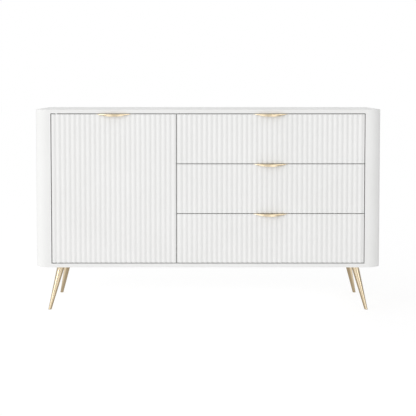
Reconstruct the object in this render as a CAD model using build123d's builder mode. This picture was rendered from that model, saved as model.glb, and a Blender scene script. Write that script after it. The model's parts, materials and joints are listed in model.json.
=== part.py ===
from build123d import *
import math
import os

# Sideboard with one hinged door on the left and three drawers on the right.
# +X runs to the right, +Y to the back and +Z up. The origin is on the floor, in the
# middle of the box that holds the whole object, pulls included. Lengths are in mm.

# Overall size
width = 1400.0
depth = 400.0
height = 820.0
leg_height = 180.0
pull_reach = 14.0

# Carcass
board = 16.0
wall_board = 15.0
corner_radius = 50.0
stile_width = 66.0
back_board = 5.0
back_inset = 15.0
groove_depth = 5.0
edge_ease = 2.0
split_x = -127.0
divider_setback = 2.0

# Door and drawer fronts
reveal = 3.0
front_board = 20.0
door_flutes = 25
drawer_flutes = 37
flute_rise = 5.0
crest_round = 11.0
valley_round = 5.0

# Edge pulls
pull_length = 140.0
pull_drop = 11.0
pull_sheet = 1.5
pull_bend = 3.0
pull_flange = 17.0
pull_lip_inset = 4.5
pull_screw_offset = 45.0
pull_screw_setback = 10.0

# Pivot hinges
pivot_from_edge = 20.0
pivot_from_front = 12.0
pin_radius = 3.0
pin_length = 9.0
pin_clearance = 0.05
collar_radius = 5.5
collar_height = 2.8
bush_radius = 5.0
bush_length = 10.0
pivot_plate_length = 44.0
pivot_plate_width = 18.0
pivot_plate_sheet = 2.0
pivot_screw_offset = 14.0

# Catch and strike
catch_size = (46.0, 12.0, 13.0)
strike_size = (40.0, 1.5, 12.0)
catch_gap = 0.5
catch_from_divider = 9.0

# Shelf
shelf_board = 16.0
shelf_setback = 45.0
shelf_play = 1.0
shelf_pin_radius = 2.5
shelf_pin_length = 16.0
shelf_hole_depth = 8.0
shelf_hole_pitch = 32.0
shelf_hole_rows = 5
shelf_hole_inset = 40.0

# Drawer boxes and slides
drawer_count = 3
drawer_names = ("top", "middle", "bottom")
box_board = 12.0
box_height = 140.0
box_length = 350.0
box_lift = 20.0
box_bottom_board = 5.0
box_bottom_lift = 10.0
slide_space = 12.7
slide_sheet = 1.2
slide_setback = 4.0
outer_slide_height = 45.0
outer_slide_lip = 8.0
middle_slide_height = 38.0
middle_slide_web = 3.4
middle_slide_lip = 10.4
inner_slide_height = 31.0
inner_slide_lip = 6.0

# Legs
leg_top_radius = 15.5
leg_tip_radius = 6.4
leg_wall = 1.5
leg_top_x = 605.0
leg_tip_x = 648.0
front_leg_top_inset = 82.0
rear_leg_top_inset = 64.0
leg_splay = 42.0
leg_plate_side = 80.0
leg_plate_sheet = 3.0
leg_plate_hole_offset = 30.0
glide_height = 2.0
glide_stem_length = 16.0
glide_stem_play = 0.15

# Fasteners
screw_radius = 1.6
screw_head_radius = 3.2
screw_length = 14.0
leg_screw_radius = 2.0
leg_screw_head_radius = 4.0
leg_screw_length = 14.0
dowel_radius = 4.0
dowel_length = 30.0
dowel_in_panel = 10.0
confirmat_radius = 2.5
confirmat_length = 50.0
confirmat_head_radius = 4.0
confirmat_head_length = 4.0
cam_radius = 7.5
cam_depth = 12.0
cam_below_top = 34.0
cam_bolt_radius = 3.5
cam_bolt_in_panel = 10.0
joint_inset = 90.0
dowel_inset = 130.0
post_dowel_inset = 30.0

# Wall brackets
bracket_width = 30.0
bracket_drop = 32.0
bracket_sheet = 2.0
bracket_hole_radius = 2.75
bracket_hole_drop = 20.0
bracket_x = 400.0

# Places worked out from the sizes above
front_y = -(depth - pull_reach) / 2
back_y = front_y + depth
middle_y = (front_y + back_y) / 2
bay_low = leg_height + board
bay_high = height - board
bay_half = width / 2 - stile_width
back_panel_front = back_y - back_inset - back_board
back_panel_rear = back_y - back_inset
post_rear = front_y + corner_radius
inner_wall_outside = bay_half + wall_board
outer_wall_inside = width / 2 - wall_board
divider_left = split_x - board / 2
divider_right = split_x + board / 2
divider_front = front_y + front_board + divider_setback
door_left = -bay_half + reveal
door_right = split_x - reveal / 2
door_low = bay_low + reveal
door_high = bay_high - reveal
drawer_left = split_x + reveal / 2
drawer_right = bay_half - reveal
drawer_front_height = (bay_high - bay_low - (drawer_count + 1) * reveal) / drawer_count
pivot_x = door_left + pivot_from_edge
pivot_y = front_y + pivot_from_front
flute_pitch = (door_right - door_left + reveal) / door_flutes
catch_x = divider_left - catch_from_divider - catch_size[0] / 2
catch_y = front_y + front_board + strike_size[1] + catch_gap
shelf_low = (bay_low + bay_high - shelf_board) / 2
box_front = front_y + front_board
slide_front = box_front + slide_setback
box_left = divider_right + slide_space
box_right = bay_half - slide_space

os.makedirs("parts", exist_ok=True)


def save(piece, label):
    """Label a finished piece and write its STEP file."""
    piece.part.label = label
    export_step(piece.part, f"parts/{label}.step")


def box_between(low, high):
    """Extrude a square-edged solid between two opposite corners, in the part being built."""
    with BuildSketch(Plane.XY.offset(low[2])) as outline:
        with Locations(((low[0] + high[0]) / 2, (low[1] + high[1]) / 2)):
            Rectangle(high[0] - low[0], high[1] - low[1])
    extrude(outline.sketch, amount=high[2] - low[2])


def take_out(cutters):
    """Take other solids' space out of the part being built."""
    for cutter in cutters:
        add(cutter.part, mode=Mode.SUBTRACT)


def make_board(label, low, high, cutters=()):
    """A flat board between two opposite corners, with its joints cut."""
    with BuildPart() as piece:
        box_between(low, high)
        take_out(cutters)
    save(piece, label)


def rod(start, direction, radius, length):
    """Extrude a round bar from a point, in the part being built."""
    with BuildSketch(Plane(origin=start, z_dir=direction)) as section:
        Circle(radius)
    extrude(section.sketch, amount=length)


def countersunk_screw(head, direction, radius, head_radius, length):
    """Revolve a screw whose flat head starts at a point, in the part being built."""
    plane = Plane(origin=head, x_dir=(1, 0, 0), z_dir=(0, 1, 0))
    up = 1 if plane.y_dir.dot(Vector(direction)) > 0 else -1
    with BuildSketch(plane) as half_profile:
        with BuildLine():
            Polyline(
                (0, 0),
                (head_radius, 0),
                (radius, up * (head_radius - radius)),
                (radius, up * (length - radius)),
                (0, up * length),
                close=True,
            )
        make_face()
    revolve(half_profile.sketch, axis=Axis(head, direction))


def mirrored(value):
    """The left and right, or front and back, values of one distance."""
    return (-value, value)


# ---------------------------------------------------------------- carcass fasteners
wall_middle = bay_half + wall_board / 2
outer_wall_middle = outer_wall_inside + wall_board / 2
post_middle = width / 2 - stile_width / 2
joint_rows = (front_y + joint_inset, back_y - joint_inset)
dowel_rows = (front_y + dowel_inset, back_y - dowel_inset)
# Each upright's middle, and the face that its cam locks are let into
uprights = (
    (-wall_middle, -bay_half - cam_depth),
    (wall_middle, bay_half),
    (split_x, divider_right - cam_depth),
)
doweled = (-outer_wall_middle, -wall_middle, split_x, wall_middle, outer_wall_middle)

dowel_spots = [(x, y) for x in doweled for y in dowel_rows]
dowel_spots += [(x, front_y + post_dowel_inset) for x in mirrored(post_middle)]

with BuildPart() as dowels:
    for x, y in dowel_spots:
        rod((x, y, bay_low - dowel_in_panel), (0, 0, 1), dowel_radius, dowel_length)
        rod((x, y, bay_high + dowel_in_panel), (0, 0, -1), dowel_radius, dowel_length)
save(dowels, "carcass_dowels")

with BuildPart() as confirmats:
    for x, _ in uprights:
        for y in joint_rows:
            rod((x, y, leg_height), (0, 0, 1), confirmat_head_radius, confirmat_head_length)
            rod((x, y, leg_height), (0, 0, 1), confirmat_radius, confirmat_length)
save(confirmats, "carcass_screws")

with BuildPart() as cams:
    for x, cam_start in uprights:
        for y in joint_rows:
            cam_level = bay_high - cam_below_top
            rod((cam_start, y, cam_level), (1, 0, 0), cam_radius, cam_depth)
            rod((x, y, cam_level), (0, 0, 1), cam_bolt_radius, cam_below_top + cam_bolt_in_panel)
save(cams, "cam_locks")

# ---------------------------------------------------------------- back panels
with BuildPart() as left_back:
    box_between(
        (-bay_half - groove_depth, back_panel_front, bay_low - groove_depth),
        (divider_left + groove_depth, back_panel_rear, bay_high + groove_depth),
    )
save(left_back, "left_back_panel")

with BuildPart() as right_back:
    box_between(
        (divider_right - groove_depth, back_panel_front, bay_low - groove_depth),
        (bay_half + groove_depth, back_panel_rear, bay_high + groove_depth),
    )
save(right_back, "right_back_panel")

# ---------------------------------------------------------------- pivot hinges
with BuildPart() as pivots:
    for face, toward_door in ((bay_low, 1), (bay_high, -1)):
        plate_bottom = face - pivot_plate_sheet if toward_door > 0 else face
        with BuildSketch(Plane.XY.offset(plate_bottom)):
            with Locations((pivot_x, pivot_y)):
                RectangleRounded(pivot_plate_length, pivot_plate_width, 4)
        extrude(amount=pivot_plate_sheet)
        rod((pivot_x, pivot_y, face), (0, 0, toward_door), collar_radius, collar_height)
        rod((pivot_x, pivot_y, face), (0, 0, toward_door), pin_radius, reveal + pin_length)

# ---------------------------------------------------------------- wall brackets
with BuildPart() as brackets:
    for x in mirrored(bracket_x):
        box_between(
            (x - bracket_width / 2, back_panel_rear, bay_high - bracket_sheet),
            (x + bracket_width / 2, back_y, bay_high),
        )
        box_between(
            (x - bracket_width / 2, back_y - bracket_sheet, bay_high - bracket_drop),
            (x + bracket_width / 2, back_y, bay_high),
        )

# ---------------------------------------------------------------- small screws
with BuildPart() as fitting_screws:
    for x in (pivot_x - pivot_screw_offset, pivot_x + pivot_screw_offset):
        low_head = (x, pivot_y, bay_low)
        high_head = (x, pivot_y, bay_high)
        countersunk_screw(low_head, (0, 0, -1), screw_radius, screw_head_radius, screw_length)
        countersunk_screw(high_head, (0, 0, 1), screw_radius, screw_head_radius, screw_length)
    for x in mirrored(bracket_x):
        head = (x, back_y - back_inset / 2, bay_high - bracket_sheet)
        countersunk_screw(head, (0, 0, 1), screw_radius, screw_head_radius, screw_length)
save(fitting_screws, "fitting_screws")

with BuildPart() as pivot_plates:
    add(pivots.part)
    take_out([fitting_screws])
save(pivot_plates, "pivot_plates")

with BuildPart() as wall_brackets:
    add(brackets.part)
    take_out([fitting_screws])
    for x in mirrored(bracket_x):
        with BuildSketch(Plane(origin=(x, back_y, bay_high - bracket_hole_drop), z_dir=(0, -1, 0))):
            Circle(bracket_hole_radius)
        extrude(amount=bracket_sheet, mode=Mode.SUBTRACT)
save(wall_brackets, "wall_brackets")

# ---------------------------------------------------------------- legs
leg_places = []
for side, side_name in ((-1, "left"), (1, "right")):
    front_top_y = front_y + front_leg_top_inset
    rear_top_y = back_y - rear_leg_top_inset
    for end_name, top_y, outward in (("front", front_top_y, -1), ("rear", rear_top_y, 1)):
        tip = Vector(side * leg_tip_x, top_y + outward * leg_splay, 0)
        top = Vector(side * leg_top_x, top_y, leg_height)
        leg_places.append((f"{end_name}_{side_name}_leg", tip, top))

with BuildPart() as leg_screws:
    for _, _, top in leg_places:
        for dx in mirrored(leg_plate_hole_offset):
            for dy in mirrored(leg_plate_hole_offset):
                head = (top.X + dx, top.Y + dy, leg_height - leg_plate_sheet)
                countersunk_screw(
                    head, (0, 0, 1), leg_screw_radius, leg_screw_head_radius, leg_screw_length
                )
save(leg_screws, "leg_plate_screws")

with BuildPart() as leg_plates:
    for _, _, top in leg_places:
        with BuildSketch(Plane.XY.offset(leg_height - leg_plate_sheet)):
            with Locations((top.X, top.Y)):
                RectangleRounded(leg_plate_side, leg_plate_side, 10)
        extrude(amount=leg_plate_sheet)
    take_out([leg_screws])
save(leg_plates, "leg_plates")


def leg_radius(distance, length):
    """The leg's outside radius at a distance from its tip."""
    return leg_tip_radius + (leg_top_radius - leg_tip_radius) * distance / length


def cone(tip, axis, start, end, start_radius, end_radius, mode=Mode.ADD):
    """Loft a tapered round bar between two distances along an axis."""
    with BuildSketch(Plane(origin=tip + axis * start, z_dir=axis)) as start_section:
        Circle(start_radius)
    with BuildSketch(Plane(origin=tip + axis * end, z_dir=axis)) as end_section:
        Circle(end_radius)
    loft([start_section.sketch, end_section.sketch], mode=mode)


plate_underside = Plane.XY.offset(leg_height - leg_plate_sheet)
glide_top = Plane.XY.offset(glide_height)
for leg_name, tip, top in leg_places:
    axis = (top - tip).normalized()
    length = (top - tip).length
    under = -leg_top_radius
    over = length + leg_top_radius
    low_radius = leg_radius(under, length)
    high_radius = leg_radius(over, length)
    with BuildPart() as leg:
        cone(tip, axis, under, over, low_radius, high_radius)
        cone(
            tip, axis, under, over,
            low_radius - leg_wall, high_radius - leg_wall,
            mode=Mode.SUBTRACT,
        )
        split(bisect_by=plate_underside, keep=Keep.BOTTOM)
        split(bisect_by=glide_top, keep=Keep.TOP)
    save(leg, leg_name)

with BuildPart() as glides:
    for _, tip, top in leg_places:
        axis = (top - tip).normalized()
        length = (top - tip).length
        under = -leg_top_radius
        over = leg_top_radius
        cone(tip, axis, under, over, leg_radius(under, length), leg_radius(over, length))
    split(bisect_by=glide_top, keep=Keep.BOTTOM)
    for _, tip, top in leg_places:
        axis = (top - tip).normalized()
        stem_radius = leg_tip_radius - leg_wall - glide_stem_play
        rod(tip, axis, stem_radius, glide_stem_length)
    split(bisect_by=Plane.XY, keep=Keep.TOP)
save(glides, "leg_glides")

# ---------------------------------------------------------------- top and bottom panels


def panel_outline(level):
    """Sketch the carcass outline, round at its two front corners."""
    with BuildSketch(Plane.XY.offset(level)) as outline:
        with Locations((0, middle_y)):
            Rectangle(width, depth)
        fillet(outline.vertices().group_by(Axis.Y)[0], corner_radius)
    return outline.sketch


with BuildPart() as top_panel:
    extrude(panel_outline(bay_high), amount=board)
    fillet(top_panel.faces().sort_by(Axis.Z)[-1].edges(), edge_ease)
    take_out([dowels, cams, left_back, right_back, pivots, fitting_screws])
save(top_panel, "top_panel")

with BuildPart() as bottom_panel:
    extrude(panel_outline(leg_height), amount=board)
    fillet(bottom_panel.faces().sort_by(Axis.Z)[0].edges(), edge_ease)
    take_out([dowels, confirmats, left_back, right_back, pivots, fitting_screws, leg_screws])
save(bottom_panel, "bottom_panel")

# ---------------------------------------------------------------- corner posts and walls
for side, side_name in ((-1, "left"), (1, "right")):
    with BuildPart() as post:
        with BuildSketch(Plane.XY.offset(bay_low)):
            with BuildLine():
                Line((side * bay_half, front_y), (side * (width / 2 - corner_radius), front_y))
                ThreePointArc(
                    (side * (width / 2 - corner_radius), front_y),
                    (
                        side * (width / 2 - corner_radius * (1 - math.sqrt(0.5))),
                        front_y + corner_radius * (1 - math.sqrt(0.5)),
                    ),
                    (side * width / 2, post_rear),
                )
                Line((side * width / 2, post_rear), (side * bay_half, post_rear))
                Line((side * bay_half, post_rear), (side * bay_half, front_y))
            make_face()
        extrude(amount=bay_high - bay_low)
        take_out([dowels])
    save(post, f"{side_name}_corner_post")

    outside = sorted((side * outer_wall_inside, side * width / 2))
    make_board(
        f"{side_name}_outer_side",
        (outside[0], post_rear, bay_low),
        (outside[1], back_y, bay_high),
        [dowels],
    )
    cavity = sorted((side * inner_wall_outside, side * outer_wall_inside))
    make_board(
        f"{side_name}_rear_post",
        (cavity[0], back_panel_rear, bay_low),
        (cavity[1], back_y, bay_high),
    )

# ---------------------------------------------------------------- shelf and its pins
shelf_left = -bay_half + shelf_play
shelf_right = divider_left - shelf_play
shelf_front = front_y + shelf_setback
shelf_rear = back_panel_front - shelf_play
pin_rows = (shelf_front + shelf_hole_inset, shelf_rear - shelf_hole_inset)
pin_level = shelf_low - shelf_pin_radius
pin_walls = ((-bay_half, 1), (divider_left, -1))

make_board(
    "shelf",
    (shelf_left, shelf_front, shelf_low),
    (shelf_right, shelf_rear, shelf_low + shelf_board),
)

with BuildPart() as shelf_pins:
    for wall, into_bay in pin_walls:
        for y in pin_rows:
            start = (wall - into_bay * shelf_hole_depth, y, pin_level)
            rod(start, (into_bay, 0, 0), shelf_pin_radius, shelf_pin_length)
save(shelf_pins, "shelf_pins")

with BuildPart() as pin_holes:
    for wall, into_bay in pin_walls:
        for y in pin_rows:
            for row in range(shelf_hole_rows):
                level = pin_level + (row - shelf_hole_rows // 2) * shelf_hole_pitch
                rod((wall, y, level), (-into_bay, 0, 0), shelf_pin_radius, shelf_hole_depth)

# ---------------------------------------------------------------- inner walls and divider
make_board(
    "left_inner_side",
    (-inner_wall_outside, post_rear, bay_low),
    (-bay_half, back_y, bay_high),
    [dowels, confirmats, cams, left_back, pin_holes],
)
make_board(
    "right_inner_side",
    (bay_half, post_rear, bay_low),
    (inner_wall_outside, back_y, bay_high),
    [dowels, confirmats, cams, right_back],
)
make_board(
    "center_divider",
    (divider_left, divider_front, bay_low),
    (divider_right, back_y, bay_high),
    [dowels, confirmats, cams, left_back, right_back, pin_holes],
)

# ---------------------------------------------------------------- catch
make_board(
    "magnetic_catch",
    (catch_x - catch_size[0] / 2, catch_y, bay_high - catch_size[2]),
    (catch_x + catch_size[0] / 2, catch_y + catch_size[1], bay_high),
)

# ---------------------------------------------------------------- fluted fronts
flute_angle = math.atan2(flute_rise, flute_pitch / 2)
crest_cut = crest_round * (1 / math.cos(flute_angle) - 1)
crest_y = front_y - crest_cut
valley_y = crest_y + flute_rise


def fluted_board(left, right, low, high, flutes):
    """Extrude a front whose face is a row of rounded upright ridges, in the part being built."""
    middle = (left + right) / 2
    half_flute = flute_pitch / 2
    corners = []
    for step in range(2 * flutes + 1):
        x = middle + (step - flutes) * half_flute
        if left < x < right:
            corners.append((x, crest_y if step % 2 else valley_y))
    radii = [crest_round if y == crest_y else valley_round for x, y in corners]
    overrun = max(left - (middle - flutes * half_flute), 0)
    edge_y = valley_y - overrun * flute_rise / half_flute
    rear_y = front_y + front_board
    with BuildSketch(Plane.XY.offset(low)) as section:
        with BuildLine():
            FilletPolyline((left, edge_y), *corners, (right, edge_y), radius=radii)
            Polyline((right, edge_y), (right, rear_y), (left, rear_y), (left, edge_y))
        make_face()
    extrude(section.sketch, amount=high - low)


def make_pull(label, middle, edge_level):
    """A sheet-metal pull that lies on a front's top edge and hangs over it in a crescent."""
    half = pull_length / 2
    lip_half = half - pull_lip_inset
    sweep_radius = (half**2 + pull_reach**2) / (2 * pull_reach)
    hub_y = front_y - pull_reach + sweep_radius
    lip_y = front_y - pull_reach
    inner_y = lip_y + pull_sheet
    rear_y = front_y + pull_flange + pull_reach
    top_level = edge_level + pull_sheet
    low_level = top_level - pull_drop
    hub = Axis((middle, hub_y, 0), (0, 0, 1))
    half_angle = math.degrees(math.asin(half / sweep_radius))
    with BuildPart() as pull:
        with BuildSketch(Plane(origin=(middle, 0, 0), x_dir=(0, 1, 0), z_dir=(1, 0, 0))):
            with BuildLine():
                FilletPolyline(
                    (lip_y, low_level), (lip_y, top_level), (rear_y, top_level), radius=pull_bend
                )
                Line((rear_y, top_level), (rear_y, edge_level))
                FilletPolyline(
                    (rear_y, edge_level), (inner_y, edge_level), (inner_y, low_level),
                    radius=pull_bend - pull_sheet,
                )
                Line((inner_y, low_level), (lip_y, low_level))
            make_face()
        revolve(axis=hub, revolution_arc=half_angle)
        mirror(about=Plane(origin=(middle, 0, 0), z_dir=(1, 0, 0)))
        with BuildSketch(Plane(origin=(middle, back_y, 0), x_dir=(1, 0, 0), z_dir=(0, -1, 0))):
            with BuildLine():
                ThreePointArc((-lip_half, edge_level), (0, low_level), (lip_half, edge_level))
                Polyline(
                    (lip_half, edge_level),
                    (half, edge_level),
                    (half, top_level),
                    (-half, top_level),
                    (-half, edge_level),
                    (-lip_half, edge_level),
                )
            make_face()
        extrude(amount=depth * 2, mode=Mode.INTERSECT)
        split(bisect_by=Plane(origin=(0, front_y + pull_flange, 0), z_dir=(0, 1, 0)), keep=Keep.BOTTOM)
        take_out([pull_screws])
    save(pull, label)


def make_pull_screws(label, middle, edge_level):
    """The two screws that hold a pull down on its front's top edge."""
    screw_y = front_y + pull_screw_setback
    with BuildPart() as screws:
        for dx in mirrored(pull_screw_offset):
            head = (middle + dx, screw_y, edge_level + pull_sheet)
            countersunk_screw(head, (0, 0, -1), screw_radius, screw_head_radius, screw_length)
    save(screws, label)
    return screws


# ---------------------------------------------------------------- door
door_middle = (door_left + door_right) / 2
pull_screws = make_pull_screws("door_pull_screws", door_middle, door_high)
make_pull("door_pull", door_middle, door_high)

with BuildPart() as pivot_bushes:
    for face, into_door in ((door_low, 1), (door_high, -1)):
        rod((pivot_x, pivot_y, face), (0, 0, into_door), bush_radius, bush_length)
with BuildPart() as bored_bushes:
    add(pivot_bushes.part)
    for face, into_door in ((door_low, 1), (door_high, -1)):
        with BuildSketch(Plane(origin=(pivot_x, pivot_y, face), z_dir=(0, 0, into_door))):
            Circle(pin_radius + pin_clearance)
        extrude(amount=bush_length, mode=Mode.SUBTRACT)
save(bored_bushes, "pivot_bushes")

with BuildPart() as door_panel:
    fluted_board(door_left, door_right, door_low, door_high, door_flutes)
    take_out([pivot_bushes, pull_screws])
save(door_panel, "door_panel")

strike_high = door_high - 1
make_board(
    "strike_plate",
    (catch_x - strike_size[0] / 2, box_front, strike_high - strike_size[2]),
    (catch_x + strike_size[0] / 2, box_front + strike_size[1], strike_high),
)

# ---------------------------------------------------------------- drawers


def channel(wall_x, into_bay, level, web, lip, channel_height):
    """Extrude a C channel with its web and its lips at two distances from a wall."""
    plane = Plane(origin=(wall_x, slide_front, level), x_dir=(into_bay, 0, 0), z_dir=(0, 1, 0))
    web_side = 1 if lip > web else -1
    inside = web + web_side * slide_sheet
    with BuildSketch(plane) as section:
        with Locations(((web + lip) / 2, 0)):
            Rectangle(abs(lip - web), channel_height)
        with Locations(((inside + lip) / 2, 0)):
            Rectangle(abs(lip - inside), channel_height - 2 * slide_sheet, mode=Mode.SUBTRACT)
    extrude(section.sketch, amount=box_length)


slide_walls = ((divider_right, 1), (bay_half, -1))
drawer_levels = []
for order in range(drawer_count):
    front_low = bay_high - (order + 1) * (drawer_front_height + reveal)
    drawer_levels.append(front_low)

with BuildPart() as outer_slides:
    for front_low in drawer_levels:
        slide_level = front_low + box_lift + box_height / 2
        for wall_x, into_bay in slide_walls:
            channel(wall_x, into_bay, slide_level, 0, outer_slide_lip, outer_slide_height)
save(outer_slides, "outer_slides")

drawer_middle_x = (drawer_left + drawer_right) / 2
for name, front_low in zip(drawer_names, drawer_levels):
    front_high = front_low + drawer_front_height
    box_low = front_low + box_lift
    box_high = box_low + box_height
    box_back = box_front + box_length
    slide_level = box_low + box_height / 2
    floor_low = box_low + box_bottom_lift

    pull_screws = make_pull_screws(f"{name}_drawer_pull_screws", drawer_middle_x, front_high)
    make_pull(f"{name}_drawer_pull", drawer_middle_x, front_high)

    with BuildPart() as front:
        fluted_board(drawer_left, drawer_right, front_low, front_high, drawer_flutes)
        take_out([pull_screws])
    save(front, f"{name}_drawer_front")

    with BuildPart() as drawer_bottom:
        box_between(
            (
                box_left + box_board - groove_depth,
                box_front + box_board - groove_depth,
                floor_low,
            ),
            (
                box_right - box_board + groove_depth,
                box_back - box_board + groove_depth,
                floor_low + box_bottom_board,
            ),
        )
    save(drawer_bottom, f"{name}_drawer_bottom")

    with BuildPart() as sides:
        box_between((box_left, box_front, box_low), (box_left + box_board, box_back, box_high))
        box_between((box_right - box_board, box_front, box_low), (box_right, box_back, box_high))
        take_out([drawer_bottom])
    save(sides, f"{name}_drawer_sides")

    with BuildPart() as ends:
        for end_y in (box_front, box_back - box_board):
            box_between(
                (box_left + box_board, end_y, box_low),
                (box_right - box_board, end_y + box_board, box_high),
            )
        take_out([drawer_bottom])
    save(ends, f"{name}_drawer_ends")

    with BuildPart() as inner_slides:
        for wall_x, into_bay in slide_walls:
            channel(
                wall_x, into_bay, slide_level, slide_space, inner_slide_lip, inner_slide_height
            )
    save(inner_slides, f"{name}_drawer_inner_slides")

    with BuildPart() as middle_slides:
        for wall_x, into_bay in slide_walls:
            channel(
                wall_x, into_bay, slide_level,
                middle_slide_web, middle_slide_lip, middle_slide_height,
            )
    save(middle_slides, f"{name}_drawer_middle_slides")
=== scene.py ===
import json
import math

import bmesh
import bpy
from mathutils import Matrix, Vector


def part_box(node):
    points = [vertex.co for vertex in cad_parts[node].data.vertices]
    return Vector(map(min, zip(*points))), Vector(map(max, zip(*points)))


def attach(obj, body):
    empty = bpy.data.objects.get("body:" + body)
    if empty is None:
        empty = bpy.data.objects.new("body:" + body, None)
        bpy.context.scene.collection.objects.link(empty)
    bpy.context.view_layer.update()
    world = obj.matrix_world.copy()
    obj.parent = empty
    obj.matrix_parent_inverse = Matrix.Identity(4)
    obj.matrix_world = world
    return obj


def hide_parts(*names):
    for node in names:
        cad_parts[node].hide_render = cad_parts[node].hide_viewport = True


# The looks of a low white sideboard, with a fluted door, three fluted drawers and gold legs,
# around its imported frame. Units are metres: +X is to the right, +Y to the back and +Z up.

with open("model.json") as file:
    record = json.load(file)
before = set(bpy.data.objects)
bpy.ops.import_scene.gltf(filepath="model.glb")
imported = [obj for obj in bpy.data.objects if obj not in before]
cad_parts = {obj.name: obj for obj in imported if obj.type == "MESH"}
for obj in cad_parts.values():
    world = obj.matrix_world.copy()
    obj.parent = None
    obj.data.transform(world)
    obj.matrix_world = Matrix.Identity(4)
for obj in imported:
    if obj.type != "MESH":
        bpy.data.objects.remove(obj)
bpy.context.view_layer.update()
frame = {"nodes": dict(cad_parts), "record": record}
nodes = frame["nodes"]

MM = 0.001
DRAWERS = ("top", "middle", "bottom")

# ---------------------------------------------------------------- shader helpers


class Shader:
    """A node material around one Principled shader, with short ways to add its textures."""

    def __init__(self, name):
        self.material = bpy.data.materials.new(name)
        self.material.use_nodes = True
        self.tree = self.material.node_tree
        self.principled = self.tree.nodes["Principled BSDF"]
        self.place = self.tree.nodes.new("ShaderNodeTexCoord").outputs["Object"]

    def set(self, **values):
        """Set sockets that are the same all over the surface."""
        for name, value in values.items():
            self.principled.inputs[name.replace("_", " ")].default_value = value

    def link(self, source, target):
        self.tree.links.new(source, target)

    def stretched(self, scale):
        """Object coordinates scaled along X, Y and Z."""
        node = self.tree.nodes.new("ShaderNodeMapping")
        node.inputs["Scale"].default_value = scale
        self.link(self.place, node.inputs["Vector"])
        return node.outputs["Vector"]

    def noise(self, scale, detail, vector=None, distortion=0.0):
        node = self.tree.nodes.new("ShaderNodeTexNoise")
        node.inputs["Scale"].default_value = scale
        node.inputs["Detail"].default_value = detail
        node.inputs["Distortion"].default_value = distortion
        self.link(vector or self.place, node.inputs["Vector"])
        return node.outputs["Fac"]

    def cells(self, scale):
        """Distance from the middles of small cells."""
        node = self.tree.nodes.new("ShaderNodeTexVoronoi")
        node.inputs["Scale"].default_value = scale
        self.link(self.place, node.inputs["Vector"])
        return node.outputs["Distance"]

    def ramp(self, factor, low, high, start=0.35, end=0.65):
        """From one colour to another between two levels of a factor."""
        node = self.tree.nodes.new("ShaderNodeValToRGB")
        first, last = node.color_ramp.elements
        first.position, last.position = start, end
        first.color, last.color = (*low, 1.0), (*high, 1.0)
        self.link(factor, node.inputs["Fac"])
        return node.outputs["Color"]

    def span(self, factor, low, high):
        """A factor turned into a number from low to high."""
        node = self.tree.nodes.new("ShaderNodeMapRange")
        node.inputs["To Min"].default_value = low
        node.inputs["To Max"].default_value = high
        self.link(factor, node.inputs["Value"])
        return node.outputs["Result"]

    def colour(self, source):
        self.link(source, self.principled.inputs["Base Color"])

    def roughness(self, source):
        self.link(source, self.principled.inputs["Roughness"])

    def bump(self, height, strength, distance, after=None):
        """Bump the surface by a height, on top of an earlier bump if there is one."""
        node = self.tree.nodes.new("ShaderNodeBump")
        node.inputs["Strength"].default_value = strength
        node.inputs["Distance"].default_value = distance
        self.link(height, node.inputs["Height"])
        if after is not None:
            self.link(after, node.inputs["Normal"])
        self.link(node.outputs["Normal"], self.principled.inputs["Normal"])
        return node.outputs["Normal"]


# ---------------------------------------------------------------- materials


def make_lacquer():
    """Satin white paint on MDF: faint cloudiness, and the fine orange peel of a sprayed coat."""
    shader = Shader("white_lacquer")
    cloud = shader.noise(scale=5.0, detail=3.0)
    shader.colour(shader.ramp(cloud, low=(0.862, 0.862, 0.852), high=(0.882, 0.882, 0.874)))
    shader.roughness(shader.span(shader.noise(scale=60.0, detail=4.0), low=0.36, high=0.48))
    peel = shader.noise(scale=420.0, detail=2.0)
    dust = shader.noise(scale=2600.0, detail=1.0)
    peeled = shader.bump(peel, strength=0.10, distance=0.4 * MM)
    shader.bump(dust, strength=0.05, distance=0.1 * MM, after=peeled)
    shader.set(IOR=1.48, Coat_Weight=0.15, Coat_Roughness=0.25)
    return shader.material


def make_melamine():
    """White melamine board: a close pearl texture, a little darker and warmer than the lacquer."""
    shader = Shader("white_melamine")
    cloud = shader.noise(scale=9.0, detail=4.0)
    shader.colour(shader.ramp(cloud, low=(0.80, 0.80, 0.785), high=(0.825, 0.825, 0.81)))
    shader.roughness(shader.span(shader.noise(scale=90.0, detail=3.0), low=0.45, high=0.6))
    shader.bump(shader.noise(scale=1500.0, detail=3.0), strength=0.25, distance=0.15 * MM)
    return shader.material


def make_back_board():
    """White faced hardboard: matt, with a trace of level fibres under the film."""
    shader = Shader("back_board")
    along = shader.stretched((70.0, 70.0, 240.0))
    fibre = shader.noise(scale=1.0, detail=6.0, vector=along, distortion=1.5)
    shader.colour(shader.ramp(fibre, low=(0.76, 0.755, 0.735), high=(0.79, 0.785, 0.77)))
    shader.roughness(shader.span(fibre, low=0.55, high=0.66))
    shader.bump(shader.noise(scale=800.0, detail=3.0), strength=0.15, distance=0.15 * MM)
    return shader.material


def make_gold():
    """Satin champagne gold plating, with fine upright brush lines."""
    shader = Shader("gold_metal")
    along = shader.stretched((1400.0, 1400.0, 30.0))
    lines = shader.noise(scale=1.0, detail=5.0, vector=along, distortion=0.2)
    tint = shader.noise(scale=22.0, detail=3.0)
    shader.colour(shader.ramp(tint, low=(0.86, 0.715, 0.50), high=(0.90, 0.755, 0.54)))
    shader.roughness(shader.span(lines, low=0.13, high=0.19))
    shader.bump(lines, strength=0.02, distance=0.05 * MM)
    shader.set(Metallic=1.0)
    return shader.material


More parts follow.
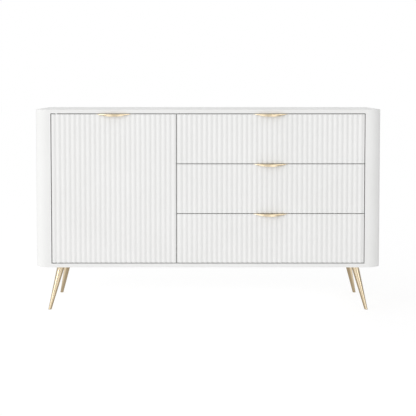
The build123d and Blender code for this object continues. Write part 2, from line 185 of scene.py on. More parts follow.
def make_zinc():
    """Bright zinc plated steel: rolling lines from front to back, and a faint spangle."""
    shader = Shader("zinc_steel")
    spangle = shader.cells(scale=140.0)
    dull, bright = (0.74, 0.75, 0.77), (0.80, 0.81, 0.83)
    shader.colour(shader.ramp(spangle, dull, bright, start=0.1, end=0.8))
    along = shader.stretched((700.0, 12.0, 700.0))
    lines = shader.noise(scale=1.0, detail=3.0, vector=along)
    shader.roughness(shader.span(lines, low=0.24, high=0.36))
    shader.bump(lines, strength=0.04, distance=0.03 * MM)
    shader.set(Metallic=1.0)
    return shader.material


def make_beech():
    """Plain beech of the dowels: pale, with short darker flecks along the grain."""
    shader = Shader("beech")
    along = shader.stretched((500.0, 500.0, 60.0))
    grain = shader.noise(scale=1.0, detail=6.0, vector=along, distortion=0.6)
    shader.colour(shader.ramp(grain, low=(0.60, 0.42, 0.26), high=(0.74, 0.57, 0.38)))
    shader.roughness(shader.span(grain, low=0.55, high=0.7))
    shader.bump(grain, strength=0.3, distance=0.1 * MM)
    return shader.material


def make_plastic(name, low, high):
    """Moulded nylon with a fine spark-eroded surface."""
    shader = Shader(name)
    shader.colour(shader.ramp(shader.noise(scale=120.0, detail=3.0), low, high))
    shader.roughness(shader.span(shader.noise(scale=300.0, detail=2.0), low=0.42, high=0.56))
    shader.bump(shader.noise(scale=3500.0, detail=2.0), strength=0.3, distance=0.05 * MM)
    return shader.material


MATERIALS = {
    "white_lacquer": make_lacquer(),
    "white_melamine": make_melamine(),
    "back_board": make_back_board(),
    "gold_metal": make_gold(),
    "zinc_steel": make_zinc(),
    "beech": make_beech(),
    "beige_plastic": make_plastic("beige_plastic", (0.40, 0.32, 0.21), (0.46, 0.38, 0.26)),
    "white_plastic": make_plastic("white_plastic", (0.78, 0.78, 0.76), (0.83, 0.83, 0.81)),
}


def put_material(piece, material):
    """Give a piece this one material and no other."""
    piece.data.materials.clear()
    piece.data.materials.append(material)


for subpart in frame["record"]["subparts"]:
    put_material(nodes[subpart["node"]], MATERIALS[subpart["material_slot"]])

# ---------------------------------------------------------------- surface shading
SMOOTH_ANGLE = math.radians(32)


def shade(piece):
    """Smooth shading with sharp edges kept."""
    piece.data.shade_smooth()
    piece.data.set_sharp_from_angle(angle=SMOOTH_ANGLE)


# ---------------------------------------------------------------- mesh helpers
JOIN_DISTANCE = 0.001 * MM
SAME_LEVEL = 0.01 * MM
ARC_STEPS = 5
FULL_TURN = 2 * math.pi


def add_piece(name, bm, body, slot, *stands_for):
    """Turn a bmesh into a piece that rides on a body, and that may stand for CAD nodes."""
    bmesh.ops.recalc_face_normals(bm, faces=bm.faces)
    mesh = bpy.data.meshes.new(name)
    bm.to_mesh(mesh)
    bm.free()
    piece = bpy.data.objects.new(name, mesh)
    bpy.context.scene.collection.objects.link(piece)
    put_material(piece, MATERIALS[slot])
    shade(piece)
    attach(piece, body)
    if stands_for:
        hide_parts(*stands_for)


def skin(bm, loops):
    """Join each closed loop of vertices to the next."""
    count = len(loops[0])
    for loop, following in zip(loops, loops[1:]):
        for here in range(count):
            beside = (here + 1) % count
            bm.faces.new((loop[here], loop[beside], following[beside], following[here]))


def loft(bm, rings):
    """Skin closed rings of points, and close both ends with a fan."""
    loops = [[bm.verts.new(point) for point in ring] for ring in rings]
    skin(bm, loops)
    count = len(loops[0])
    for loop in (loops[0], loops[-1]):
        middle = bm.verts.new(sum((vert.co for vert in loop), Vector()) / count)
        for here in range(count):
            bm.faces.new((loop[here], loop[(here + 1) % count], middle))


def turned(bm, start, direction, stations, around=32):
    """Loft rings about an axis. A station is a distance and a radius, or a radius by angle."""
    axis = Vector(direction).normalized()
    across = axis.orthogonal().normalized()
    up = axis.cross(across)
    rings = []
    for distance, radius in stations:
        ring = []
        for step in range(around):
            angle = FULL_TURN * step / around
            reach = radius(angle) if callable(radius) else radius
            side = across * math.cos(angle) + up * math.sin(angle)
            ring.append(Vector(start) + axis * distance + side * reach)
        rings.append(ring)
    loft(bm, rings)


def cross_outline(reach, width):
    """Radius by angle of a cross, from the length and width of its arms."""

    def radius(angle):
        along = max(abs(math.cos(angle)), abs(math.sin(angle)))
        aside = math.sqrt(1 - along**2)
        return min(reach / along, width / 2 / max(aside, 0.001))

    return radius


def hexagon_outline(across_flats):
    """Radius by angle of a hexagon."""
    sector = math.radians(60)
    return lambda angle: across_flats / 2 / math.cos(angle % sector - sector / 2)


def grooved_outline(radius, depth, grooves):
    """Radius by angle of a round bar with small round grooves along it."""
    return lambda angle: radius - depth * (0.5 + 0.5 * math.cos(grooves * angle))


def rounded_path(corners, radius):
    """A flat polyline's points, with each inner corner turned into an arc."""
    path = [Vector(corners[0])]
    for before, corner, after in zip(corners, corners[1:], corners[2:]):
        back = (Vector(before) - Vector(corner)).normalized()
        ahead = (Vector(after) - Vector(corner)).normalized()
        half_turn = back.angle(ahead) / 2
        centre = Vector(corner) + (back + ahead).normalized() * radius / math.sin(half_turn)
        start = Vector(corner) + back * radius / math.tan(half_turn) - centre
        end = Vector(corner) + ahead * radius / math.tan(half_turn) - centre
        for step in range(ARC_STEPS + 1):
            path.append(centre + start.lerp(end, step / ARC_STEPS).normalized() * radius)
    path.append(Vector(corners[-1]))
    return path


def folded_sheet(bm, path, sheet, ends, place):
    """A strip of sheet metal whose section follows a flat path, between two ends along Y."""
    rings = []
    for index, point in enumerate(path):
        along = path[min(index + 1, len(path) - 1)] - path[max(index - 1, 0)]
        aside = Vector((-along.y, along.x)).normalized() * sheet / 2
        corners = ((aside, ends[0]), (aside, ends[1]), (-aside, ends[1]), (-aside, ends[0]))
        rings.append([place(point + offset, end) for offset, end in corners])
    loft(bm, rings)


def rounded_block(bm, low, high, radius):
    """A block between two corners, with all its edges rounded."""
    low, high = Vector(low), Vector(high)
    block = bmesh.ops.create_cube(bm, size=1.0)["verts"]
    bmesh.ops.scale(bm, vec=high - low, verts=block)
    bmesh.ops.translate(bm, vec=(low + high) / 2, verts=block)
    edges = list({edge for vert in block for edge in vert.link_edges})
    bmesh.ops.bevel(bm, geom=edges, offset=radius, segments=2, profile=0.5, affect="EDGES")


def box_of(points):
    """Lowest and highest corners of some points."""
    low = Vector([min(point[axis] for point in points) for axis in range(3)])
    high = Vector([max(point[axis] for point in points) for axis in range(3)])
    return low, high


def solids(node):
    """The separate solids of a CAD node, each as a list of its points, from left to right."""
    bm = bmesh.new()
    bm.from_mesh(nodes[node].data)
    bmesh.ops.remove_doubles(bm, verts=bm.verts, dist=JOIN_DISTANCE)
    reached = set()
    found = []
    for first in bm.verts:
        if first in reached:
            continue
        reached.add(first)
        waiting = [first]
        points = []
        while waiting:
            vert = waiting.pop()
            points.append(vert.co.copy())
            for edge in vert.link_edges:
                other = edge.other_vert(vert)
                if other not in reached:
                    reached.add(other)
                    waiting.append(other)
        found.append(points)
    bm.free()
    # Rounded, so that solids in line with each other aren't sorted by a rounding error.
    return sorted(found, key=lambda points: [round(value, 5) for value in box_of(points)[0]])


def upright_rod(points):
    """Start, direction, length and end radius of an upright turned solid, from its wide end."""
    low, high = box_of(points)
    middle = (low + high) / 2
    ends = []
    for level, direction in ((low.z, 1), (high.z, -1)):
        rim = [point for point in points if abs(point.z - level) < SAME_LEVEL]
        reach = max(math.hypot(point.x - middle.x, point.y - middle.y) for point in rim)
        ends.append((reach, level, direction))
    reach, level, direction = max(ends)
    return Vector((middle.x, middle.y, level)), Vector((0, 0, direction)), high.z - low.z, reach


# ---------------------------------------------------------------- fasteners
SCREW_RADIUS = 1.6 * MM
LEG_SCREW_RADIUS = 2.0 * MM
SCREW_PITCH = 1.4 * MM
# Screws and dowels stay this far inside their CAD shapes.
FIT = 0.05 * MM

# The radius of a thread's core, as a share of the whole, and its ridge, which rises and falls
# within two thirds of the pitch.
THREAD_CORE = 0.72
THREAD_STEEPNESS = 3
THREAD_RINGS_PER_TURN = 6

DOWEL_SIDES = 64
DOWEL_GROOVES = 16
DOWEL_GROOVE_DEPTH = 0.3 * MM
DOWEL_CHAMFER = 1.2 * MM

# A confirmat screw's lengths from head to point, and its socket's width across flats.
CONFIRMAT_HEAD = 4 * MM
CONFIRMAT_SHANK = 6 * MM
CONFIRMAT_POINT = 4 * MM
CONFIRMAT_PITCH = 3 * MM
CONFIRMAT_SOCKET = 4 * MM
CONFIRMAT_SOCKET_DEPTH = 2.6 * MM

CAM_RECESS_DEPTH = 3 * MM
CAM_DISH = 0.3 * MM
CAM_CHAMFER = 0.4 * MM
# Along a cam's bolt: the first two from its foot, the others from its top end.
BOLT_TIP = 1.5 * MM
BOLT_HEAD = 3 * MM
BOLT_SHOULDER = 11 * MM
BOLT_COLLAR = 10 * MM
BOLT_THREAD_FOOT = 9 * MM
BOLT_THREAD_TOP = 1 * MM
BOLT_PITCH = 2 * MM


def threaded(start, end, radius, pitch):
    """Stations of a single-start thread with thin ridges."""
    core = THREAD_CORE * radius
    stations = []
    for step in range(int((end - start) / pitch * THREAD_RINGS_PER_TURN) + 1):
        distance = start + step * pitch / THREAD_RINGS_PER_TURN

        def height(angle, distance=distance):
            place = (distance / pitch - angle / FULL_TURN) % 1
            return core + (radius - core) * max(0.0, 1 - THREAD_STEEPNESS * abs(place - 0.5))

        stations.append((distance, height))
    return stations


def countersunk_screw(bm, head, direction, head_radius, radius, length):
    """A flat-headed wood screw with a cross recess and a thread."""
    neck = head_radius - radius
    recess_depth = 0.5 * neck + 0.4 * MM
    recess = cross_outline(reach=0.56 * head_radius, width=0.30 * head_radius)
    recess_floor = cross_outline(reach=0.26 * head_radius, width=0.16 * head_radius)
    stations = [(recess_depth, recess_floor), (0, recess), (0, head_radius - FIT)]
    stations += threaded(neck, length - 2 * radius, radius - FIT, SCREW_PITCH)
    stations.append((length - FIT, 0.1 * radius))
    turned(bm, head, direction, stations)


def replace_screws(node, body, slot, radius):
    """Detailed screws in the places of a CAD node's plain ones."""
    bm = bmesh.new()
    for points in solids(node):
        head, direction, length, head_radius = upright_rod(points)
        countersunk_screw(bm, head, direction, head_radius, radius, length)
    add_piece(f"threaded_{node}", bm, body, slot, node)


def pan_head(bm, seat, direction, radius, rise):
    """The domed head of a small screw, with its cross recess, standing on a surface."""
    recess = cross_outline(reach=0.55 * radius, width=0.30 * radius)
    recess_floor = cross_outline(reach=0.25 * radius, width=0.16 * radius)
    stations = [(0.4 * rise, recess_floor), (rise, recess), (rise, 0.7 * radius)]
    stations += [(0.86 * rise, 0.9 * radius), (0.5 * rise, radius), (0, radius)]
    turned(bm, seat, direction, stations)


def make_dowels():
    """Grooved beech dowels with chamfered ends."""
    bm = bmesh.new()
    for points in solids("carcass_dowels"):
        start, direction, length, radius = upright_rod(points)
        bar = grooved_outline(radius - FIT, DOWEL_GROOVE_DEPTH, DOWEL_GROOVES)
        tip = 0.8 * radius
        stations = [(0, tip), (DOWEL_CHAMFER, bar), (length - DOWEL_CHAMFER, bar), (length, tip)]
        turned(bm, start, direction, stations, around=DOWEL_SIDES)
    add_piece("grooved_dowels", bm, "carcass", "beech", "carcass_dowels")


def make_confirmats():
    """Chipboard connecting screws with a hexagon socket, driven up through the bottom panel."""
    bm = bmesh.new()
    for points in solids("carcass_screws"):
        head, direction, length, head_radius = upright_rod(points)
        shank = 0.62 * head_radius
        rim = head_radius - FIT
        socket = hexagon_outline(CONFIRMAT_SOCKET)
        thread_start = CONFIRMAT_HEAD + CONFIRMAT_SHANK
        stations = [(CONFIRMAT_SOCKET_DEPTH, socket), (0, socket), (0, rim)]
        stations += [(CONFIRMAT_HEAD - FIT, rim), (CONFIRMAT_HEAD, shank)]
        stations += threaded(thread_start, length - CONFIRMAT_POINT, shank - FIT, CONFIRMAT_PITCH)
        stations.append((length - FIT, 0.5 * shank))
        turned(bm, head, direction, stations)
    add_piece("socket_carcass_screws", bm, "carcass", "zinc_steel", "carcass_screws")


def cam_housing(bm, face, inward, radius, thickness):
    """A cam's turned housing, with a dished face and a cross recess in it."""
    recess = cross_outline(reach=0.50 * radius, width=0.24 * radius)
    recess_floor = cross_outline(reach=0.42 * radius, width=0.16 * radius)
    stations = [(CAM_RECESS_DEPTH, recess_floor), (CAM_DISH, recess), (CAM_DISH, 0.84 * radius)]
    stations += [(0, 0.90 * radius), (0, 0.97 * radius), (CAM_CHAMFER, radius)]
    stations.append((thickness, radius))
    turned(bm, face, inward, stations)


def cam_bolt(bm, foot, radius, length):
    """A cam's bolt: a small head in the cam, a thin shaft, a collar and a thread at the top."""
    shaft = 0.6 * radius
    stations = [(0, 0.4 * radius), (BOLT_TIP, 0.9 * radius), (BOLT_HEAD, shaft)]
    stations += [(length - BOLT_SHOULDER, shaft), (length - BOLT_COLLAR, 0.95 * radius)]
    thread_ends = (length - BOLT_THREAD_FOOT, length - BOLT_THREAD_TOP)
    stations += threaded(*thread_ends, radius, BOLT_PITCH)
    turned(bm, foot, (0, 0, 1), stations)


def make_cams():
    """Cam locks: each a housing that opens to the bay, and the bolt it draws down."""
    bm = bmesh.new()
    for points in solids("cam_locks"):
        low, high = box_of(points)
        radius = (high.y - low.y) / 2
        crown = [point for point in points if high.z - point.z < SAME_LEVEL]
        bolt = sum(crown, Vector()) / len(crown)
        bolt_radius = max((point - bolt).length for point in crown)
        outward = 1 if low.x < 0 else -1
        face = Vector((high.x if outward > 0 else low.x, bolt.y, low.z + radius))
        cam_housing(bm, face, (-outward, 0, 0), radius, high.x - low.x)
        cam_bolt(bm, (bolt.x, bolt.y, face.z), bolt_radius, high.z - face.z)
    add_piece("turned_cam_locks", bm, "carcass", "zinc_steel", "cam_locks")


replace_screws("leg_plate_screws", "carcass", "zinc_steel", LEG_SCREW_RADIUS)
replace_screws("fitting_screws", "carcass", "zinc_steel", SCREW_RADIUS)
replace_screws("door_pull_screws", "door", "gold_metal", SCREW_RADIUS)
for drawer in DRAWERS:
    replace_screws(f"{drawer}_drawer_pull_screws", f"{drawer}_drawer", "gold_metal", SCREW_RADIUS)
make_dowels()
make_confirmats()
make_cams()

# ---------------------------------------------------------------- drawer slides
SLIDE_SHEET = 1.2 * MM
SLIDE_BEND = 1.6 * MM
LIP_CURL = 0.8 * MM
CURLED_BEND = 0.72 * MM
BALL_RADIUS = 1.05 * MM
BALL_PITCH = 11.0 * MM
BALL_OFFSET = 0.4 * MM
BALL_STEPS = 8
BALL_SIDES = 12
CAGE_SHEET = 0.5 * MM
CAGE_BEND = 1.0 * MM
CAGE_SETBACK = 10.0 * MM
CAGE_LENGTH = 165.0 * MM
# How far a cage's web and lip ends stand off the bay's wall, and its lips off its middle.
OUTER_CAGE = {"web": 2.3 * MM, "lip": 7.4 * MM, "row": 20.15 * MM}
MIDDLE_CAGE = {"web": 5.3 * MM, "lip": 9.6 * MM, "row": 16.65 * MM}
SLIDE_SCREW_PLACES = (0.12, 0.5, 0.88)
SLIDE_SCREW_RADIUS = 3.2 * MM
SLIDE_SCREW_RISE = 1.1 * MM


def channel(bm, points, web_on_low_side, curled):
    """A bent C channel in the box of a CAD one. If curled, its lips end in short inward hooks."""
    low, high = box_of(points)
    inset = SLIDE_SHEET / 2
    top = (high.z - low.z) / 2 - inset
    reach = high.x - low.x - inset
    corners = [(reach, top), (inset, top), (inset, -top), (reach, -top)]
    if curled:
        corners = [(reach, top - LIP_CURL), *corners, (reach, LIP_CURL - top)]
    middle = (low.z + high.z) / 2
    web = low.x if web_on_low_side else high.x
    inward = 1 if web_on_low_side else -1

    def place(point, end):
        return Vector((web + inward * point.x, end, middle + point.y))

    bend = CURLED_BEND if curled else SLIDE_BEND
    folded_sheet(bm, rounded_path(corners, bend), SLIDE_SHEET, (low.y, high.y), place)


def ball(bm, spot):
    """A steel ball, turned about the length of the slide."""
    stations = []
    for step in range(1, BALL_STEPS):
        angle = math.pi * step / BALL_STEPS
        stations.append((-BALL_RADIUS * math.cos(angle), BALL_RADIUS * math.sin(angle)))
    turned(bm, spot, (0, 1, 0), stations, around=BALL_SIDES)


def cage(bm, points, on_left, wall, web, lip, row):
    """The ball cage in a channel: a bent strip with a row of steel balls in each of its lips."""
    low, high = box_of(points)
    level = (low.z + high.z) / 2
    start = low.y + CAGE_SETBACK
    inward = 1 if on_left else -1

    def place(point, end):
        return Vector((wall + inward * point.x, end, level + point.y))

    path = rounded_path([(lip, row), (web, row), (web, -row), (lip, -row)], CAGE_BEND)
    folded_sheet(bm, path, CAGE_SHEET, (start, start + CAGE_LENGTH), place)
    across = (web + lip) / 2 + BALL_OFFSET
    for side in (row, -row):
        for count in range(int(CAGE_LENGTH / BALL_PITCH)):
            ball(bm, place(Vector((across, side)), start + (count + 0.5) * BALL_PITCH))


def channel_screws(bm, points, on_left):
    """The pan heads that hold an inner channel to the drawer's side."""
    low, high = box_of(points)
    web = high.x - SLIDE_SHEET if on_left else low.x + SLIDE_SHEET
    toward_wall = (-1 if on_left else 1, 0, 0)
    for share in SLIDE_SCREW_PLACES:
        seat = (web, low.y + share * (high.y - low.y), (low.z + high.z) / 2)
        pan_head(bm, seat, toward_wall, SLIDE_SCREW_RADIUS, SLIDE_SCREW_RISE)


def make_outer_slides(outer):
    """The members on the bay's walls, with their cages."""
    channels = bmesh.new()
    cages = bmesh.new()
    for index, points in enumerate(outer):
        on_left = index < len(outer) // 2
        low, high = box_of(points)
        channel(channels, points, on_left, curled=True)
        cage(cages, points, on_left, low.x if on_left else high.x, **OUTER_CAGE)
    add_piece("bent_outer_slides", channels, "carcass", "zinc_steel", "outer_slides")
    add_piece("outer_ball_cages", cages, "carcass", "zinc_steel")


def make_drawer_slides(drawer, left_wall, right_wall):
    """A drawer's middle members with their cages, and its inner members with their screws."""
    middle = f"{drawer}_drawer_middle_slides"
    inner = f"{drawer}_drawer_inner_slides"
    bm = bmesh.new()
    cages = bmesh.new()
    for points, on_left in zip(solids(middle), (True, False)):
        channel(bm, points, on_left, curled=True)
        cage(cages, points, on_left, left_wall if on_left else right_wall, **MIDDLE_CAGE)
    add_piece(f"bent_{middle}", bm, f"{drawer}_drawer_slides", "zinc_steel", middle)
    add_piece(f"{drawer}_drawer_ball_cages", cages, f"{drawer}_drawer_slides", "zinc_steel")
    bm = bmesh.new()
    for points, on_left in zip(solids(inner), (True, False)):
        channel(bm, points, not on_left, curled=False)
        channel_screws(bm, points, on_left)
    add_piece(f"bent_{inner}", bm, f"{drawer}_drawer", "zinc_steel", inner)


outer_slides = solids("outer_slides")
make_outer_slides(outer_slides)
for drawer in DRAWERS:
    make_drawer_slides(drawer, box_of(outer_slides[0])[0].x, box_of(outer_slides[-1])[1].x)

# ---------------------------------------------------------------- catch and leg welds
CATCH_BODY_EDGE = 1 * MM
CATCH_EAR = 3 * MM
CATCH_EAR_REACH = 8 * MM
CATCH_EAR_EDGE = 0.8 * MM
CATCH_SCREW_PLACE = 19 * MM
CATCH_SCREW_RADIUS = 2.6 * MM
CATCH_SCREW_RISE = 1.4 * MM
POLE_LEVELS = (3.6 * MM, 8.4 * MM)
POLE_INSET = 11 * MM
POLE_THICKNESS = 1.6 * MM
POLE_DEPTH = 4 * MM
POLE_RISE = 0.4 * MM
POLE_EDGE = 0.2 * MM

WELD_STEPS = 64
WELD_SIDES = 8
WELD_BEAD = 0.9 * MM
WELD_RIPPLE = 0.15 * MM
WELD_RIPPLES = 9
WELD_GAP = 0.2 * MM
# How deep a bead's middle lies under the leg's end, as a share of its radius.
WELD_SINK = 0.6


def make_catch():
    """A magnetic catch: housing with two ears, their screws, and the magnet's two steel poles."""
    low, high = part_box("magnetic_catch")
    middle = (low + high) / 2
    under = high.z - CATCH_EAR
    bm = bmesh.new()
    body_low = (low.x + CATCH_EAR_REACH, low.y, low.z)
    body_high = (high.x - CATCH_EAR_REACH, high.y, high.z)
    rounded_block(bm, body_low, body_high, CATCH_BODY_EDGE)
    rounded_block(bm, (low.x, low.y, under), high, CATCH_EAR_EDGE)
    add_piece("catch_housing", bm, "carcass", "white_plastic", "magnetic_catch")
    bm = bmesh.new()
    for offset in (-CATCH_SCREW_PLACE, CATCH_SCREW_PLACE):
        seat = (middle.x + offset, middle.y, under)
        pan_head(bm, seat, (0, 0, -1), CATCH_SCREW_RADIUS, CATCH_SCREW_RISE)
    for level in POLE_LEVELS:
        bottom = low.z + level
        corner = (low.x + POLE_INSET, low.y - POLE_RISE, bottom)
        opposite = (high.x - POLE_INSET, low.y + POLE_DEPTH, bottom + POLE_THICKNESS)
        rounded_block(bm, corner, opposite, POLE_EDGE)
    add_piece("catch_poles", bm, "carcass", "zinc_steel")


def weld_bead(bm, middle, half):
    """A rippled bead of weld around an oval."""
    loops = []
    for step in range(WELD_STEPS):
        angle = FULL_TURN * step / WELD_STEPS
        bead = WELD_BEAD + WELD_RIPPLE * math.sin(WELD_RIPPLES * angle)
        loop = []
        for side in range(WELD_SIDES):
            turn = FULL_TURN * side / WELD_SIDES
            out = bead * math.cos(turn) + WELD_GAP
            across = (half.x + out) * math.cos(angle)
            along = (half.y + out) * math.sin(angle)
            rise = bead * (math.sin(turn) - WELD_SINK)
            loop.append(bm.verts.new(middle + Vector((across, along, rise))))
        loops.append(loop)
    skin(bm, loops + loops[:1])


def make_welds():
    """The thin weld bead where each leg meets its plate."""
    bm = bmesh.new()
    for end in ("front", "rear"):
        for side in ("left", "right"):
            points = [vertex.co for vertex in nodes[f"{end}_{side}_leg"].data.vertices]
            top = max(point.z for point in points)
            low, high = box_of([point for point in points if top - point.z < SAME_LEVEL])
            weld_bead(bm, (low + high) / 2, (high - low) / 2)
    add_piece("leg_welds", bm, "carcass", "gold_metal")


make_catch()
make_welds()

# ---------------------------------------------------------------- eased edges
BEVEL_ANGLE = math.radians(50)
BOARD_EDGE = 0.6 * MM
METAL_EDGE = 0.3 * MM


def ease(piece, width):
    """Round the sharp edges of a CAD node a little, as sanding, edge banding or tumbling does.

    The node's faces don't share their vertices, so they are joined first. The weighted normals
    keep the flat faces flat beside their rounded edges.
    """
    join = piece.modifiers.new("join", "WELD")
    join.merge_threshold = JOIN_DISTANCE
    bevel = piece.modifiers.new("ease", "BEVEL")
    bevel.width = width
    bevel.segments = 2
    bevel.limit_method = "ANGLE"
    bevel.angle_limit = BEVEL_ANGLE
    normals = piece.modifiers.new("flat", "WEIGHTED_NORMAL")
    normals.mode = "FACE_AREA"
    normals.weight = 100


EASED = {
    BOARD_EDGE: ["door_panel", "shelf"],
    METAL_EDGE: ["door_pull", "strike_plate", "pivot_plates", "leg_plates"],
}
for drawer in DRAWERS:
    boards = ("front", "sides", "ends", "bottom")
    EASED[BOARD_EDGE] += [f"{drawer}_drawer_{board}" for board in boards]
    EASED[METAL_EDGE].append(f"{drawer}_drawer_pull")

for piece in nodes.values():
    shade(piece)
for width, names in EASED.items():
    for name in names:
        ease(nodes[name], width)

# ---------------------------------------------------------------- floor, lights and camera
FRONT_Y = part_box("top_panel")[0].y
CAMERA_HEIGHT = 0.929
CAMERA_DISTANCE = 4.063
CAMERA_TILT = math.radians(3.0)
CAMERA_LENS = 87.5
CAMERA_SHIFT = -0.1747

FLOOR_SIZE = 60.0
FLOOR_COLOUR = (0.32, 0.32, 0.32, 1.0)
FLOOR_GLOW = 0.765
WHITE = (1.0, 1.0, 1.0, 1.0)

# The diffuse light: brightness by direction, and one soft area light from the left in front.
SKY_SLOPE = (-0.46, -0.10, -0.09)
SKY_LEVEL = 0.790
KEY_PLACE = (-2.6, -3.2, 1.9)
KEY_TARGET = (0, 0, 0.45)
KEY_SIZE = (1.2, 1.8)
KEY_POWER = 14.0

# What polished parts mirror: degrees to the right of straight ahead of the front, and
# brightness. The softboxes are the bright stretches.
HIGH_LIGHTS = (
    (-90, 0.60), (-62, 0.62), (-54, 2.00), (-34, 2.00), (-26, 0.60), (-12, 0.56), (14, 0.56),
    (20, 0.70), (27, 2.00), (42, 2.00), (49, 0.36), (90, 0.34), (135, 0.42), (155, 0.96),
    (205, 0.96), (225, 0.60),
)
LOW_LIGHTS = (
    (-90, 0.42), (-40, 0.54), (-27, 0.62), (-23, 1.12), (-14, 1.12), (-9, 0.68), (3, 0.68),
    (8, 1.22), (17, 1.22), (22, 0.58), (40, 0.48), (90, 0.42), (135, 0.42), (155, 0.96),
    (205, 0.96), (225, 0.42),
)
FLOOR_LIGHTS = (
    (-90, 1.00), (-55, 0.85), (-40, 0.60), (-27, 0.66), (-23, 1.40), (-14, 1.40), (-9, 0.82),
    (3, 0.82), (8, 1.30), (17, 1.30), (22, 0.62), (40, 0.58), (55, 0.80), (90, 1.00), (120, 0.60),
    (240, 0.60),
)
# Where the radial texture has the way that the front faces.
AHEAD = 0.25
# The high softboxes take over from the low ones between these rises of the mirrored direction.
SOFTBOX_FOOT = 0.06
SOFTBOX_FULL = 0.18
# Polished parts mirror a painted warm grey shadow on the floor under the carcass. It ends between
# these distances from the middle of the floor, to the sides and to the front.
PAINTED_UNDER_SHADOW = (0.40, 0.37, 0.325, 1.0)
SHADOW_SIDE = (0.60, 0.90)
SHADOW_FRONT = (0.22, 0.50)


def mirrored_studio(tree, direction, lights):
    """Brightness of the studio's softboxes and dark gaps, around the upright axis."""
    around = tree.nodes.new("ShaderNodeTexGradient")
    around.gradient_type = "RADIAL"
    tree.links.new(direction, around.inputs["Vector"])
    ramp = tree.nodes.new("ShaderNodeValToRGB")
    stops = ramp.color_ramp.elements
    for degrees, level in lights:
        stop = stops.new(AHEAD + degrees / 360)
        stop.color = (level, level, level, 1.0)
    # Both ends of the ramp lie straight to the left, where the first light is.
    seam = lights[0][1]
    for end in (stops[0], stops[-1]):
        end.color = (seam, seam, seam, 1.0)
    tree.links.new(around.outputs["Fac"], ramp.inputs["Fac"])
    return ramp.outputs["Color"]


def stretch(tree, value, low, high):
    """How far a number is from low to high, kept within 0 and 1."""
    node = tree.nodes.new("ShaderNodeMapRange")
    node.inputs["From Min"].default_value = low
    node.inputs["From Max"].default_value = high
    tree.links.new(value, node.inputs["Value"])
    return node.outputs["Result"]


def mathed(tree, operation, *values):
    """The result of a math operation on sockets or plain numbers."""
    node = tree.nodes.new("ShaderNodeMath")
    node.operation = operation
    for value, socket in zip(values, node.inputs):
        if isinstance(value, float):
            socket.default_value = value
        else:
            tree.links.new(value, socket)
    return node.outputs["Value"]


def split_up(tree, vector):
    """The X, Y and Z sockets of a vector."""
    node = tree.nodes.new("ShaderNodeSeparateXYZ")
    tree.links.new(vector, node.inputs["Vector"])
    return node.outputs


def mirrored_floor(tree, place):
    """The floor as polished parts mirror it: lit, fading into a painted shadow under the carcass.
    """
    parts = split_up(tree, place)
    aside = stretch(tree, mathed(tree, "ABSOLUTE", parts["X"]), *SHADOW_SIDE)
    ahead = stretch(tree, mathed(tree, "MULTIPLY", parts["Y"], -1.0), *SHADOW_FRONT)
    mix = tree.nodes.new("ShaderNodeMixRGB")
    # The painted shadow under the carcass, in the floor's mirrored glow.
    mix.inputs["Color1"].default_value = PAINTED_UNDER_SHADOW
    tree.links.new(mathed(tree, "MAXIMUM", aside, ahead), mix.inputs["Fac"])
    tree.links.new(mirrored_studio(tree, place, FLOOR_LIGHTS), mix.inputs["Color2"])
    return mix.outputs["Color"]


def mirrored_sky(tree, direction):
    """The high softboxes, fading into what stands near the horizon."""
    mix = tree.nodes.new("ShaderNodeMixRGB")
    rise = stretch(tree, split_up(tree, direction)["Z"], SOFTBOX_FOOT, SOFTBOX_FULL)
    tree.links.new(rise, mix.inputs["Fac"])
    tree.links.new(mirrored_studio(tree, direction, LOW_LIGHTS), mix.inputs["Color1"])
    tree.links.new(mirrored_studio(tree, direction, HIGH_LIGHTS), mix.inputs["Color2"])
    return mix.outputs["Color"]


def switch(tree, test, otherwise, shown):
    """One shader where a test is true, another where it isn't."""
    mix = tree.nodes.new("ShaderNodeMixShader")
    tree.links.new(test, mix.inputs["Fac"])
    tree.links.new(otherwise, mix.inputs[1])
    tree.links.new(shown, mix.inputs[2])
    return mix.outputs["Shader"]


def glow(tree, strength):
    """White light from all around, of one strength or of a strength from a socket."""
    node = tree.nodes.new("ShaderNodeBackground")
    node.inputs["Color"].default_value = WHITE
    if isinstance(strength, float):
        node.inputs["Strength"].default_value = strength
    else:
        tree.links.new(strength, node.inputs["Strength"])
    return node.outputs["Background"]


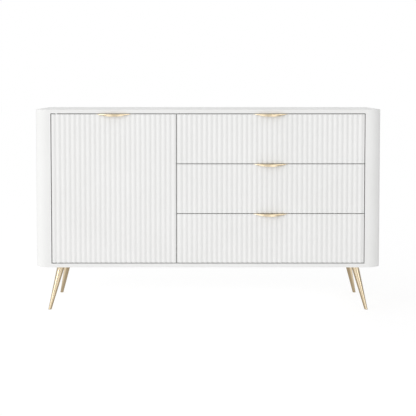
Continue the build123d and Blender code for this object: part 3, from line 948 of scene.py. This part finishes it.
def make_floor():
    """A plain pale floor, lit almost evenly like a white studio, and clear when seen from below.

    Polished parts mirror the studio's own floor in its place, with a painted shadow under the
    carcass.
    """
    bpy.ops.mesh.primitive_plane_add(size=FLOOR_SIZE, location=(0, 0, 0))
    floor = bpy.context.object
    floor.name = "floor"
    shader = Shader("floor_white")
    shader.set(Base_Color=FLOOR_COLOUR, Roughness=1.0, Specular_IOR_Level=0.0)
    shader.set(Emission_Color=WHITE, Emission_Strength=FLOOR_GLOW)
    tree = shader.tree
    mirrored = tree.nodes.new("ShaderNodeEmission")
    tree.links.new(mirrored_floor(tree, shader.place), mirrored.inputs["Color"])
    glossy = tree.nodes.new("ShaderNodeLightPath").outputs["Is Glossy Ray"]
    plain = shader.principled.outputs["BSDF"]
    upper = switch(tree, glossy, plain, mirrored.outputs["Emission"])
    below = tree.nodes.new("ShaderNodeNewGeometry").outputs["Backfacing"]
    clear = tree.nodes.new("ShaderNodeBsdfTransparent").outputs["BSDF"]
    surface = switch(tree, below, upper, clear)
    tree.links.new(surface, tree.nodes["Material Output"].inputs["Surface"])
    put_material(floor, shader.material)


def make_sky():
    """A white room that is brighter on the left, and a little brighter in front and low down.

    Polished parts mirror the softboxes in its place, and the camera sees plain white.
    """
    world = bpy.data.worlds.new("studio")
    world.use_nodes = True
    bpy.context.scene.world = world
    tree = world.node_tree
    tree.nodes.clear()
    place = tree.nodes.new("ShaderNodeTexCoord").outputs["Generated"]
    slope = tree.nodes.new("ShaderNodeVectorMath")
    slope.operation = "DOT_PRODUCT"
    slope.inputs[1].default_value = SKY_SLOPE
    tree.links.new(place, slope.inputs[0])
    diffuse = glow(tree, mathed(tree, "ADD", slope.outputs["Value"], SKY_LEVEL))
    mirrored = glow(tree, mirrored_sky(tree, place))
    path = tree.nodes.new("ShaderNodeLightPath")
    room = switch(tree, path.outputs["Is Glossy Ray"], diffuse, mirrored)
    seen = switch(tree, path.outputs["Is Camera Ray"], room, glow(tree, 1.0))
    out = tree.nodes.new("ShaderNodeOutputWorld")
    tree.links.new(seen, out.inputs["Surface"])


def make_key_light():
    """One soft area light, turned to the front of the object."""
    light = bpy.data.lights.new("key", "AREA")
    light.shape = "RECTANGLE"
    light.size, light.size_y = KEY_SIZE
    light.energy = KEY_POWER
    lamp = bpy.data.objects.new("key", light)
    lamp.location = KEY_PLACE
    aim = Vector(KEY_TARGET) - Vector(KEY_PLACE)
    lamp.rotation_euler = aim.to_track_quat("-Z", "Y").to_euler()
    bpy.context.scene.collection.objects.link(lamp)


def make_camera():
    """A long lens in front of the object, tilted down a little and shifted."""
    camera = bpy.data.objects.new("camera", bpy.data.cameras.new("camera"))
    camera.data.lens = CAMERA_LENS
    camera.data.shift_y = CAMERA_SHIFT
    camera.location = (0, FRONT_Y - CAMERA_DISTANCE, CAMERA_HEIGHT)
    camera.rotation_euler = (math.radians(90) - CAMERA_TILT, 0, 0)
    bpy.context.scene.collection.objects.link(camera)
    bpy.context.scene.camera = camera


make_floor()
make_sky()
make_key_light()
make_camera()
bpy.context.scene.view_settings.view_transform = "Standard"
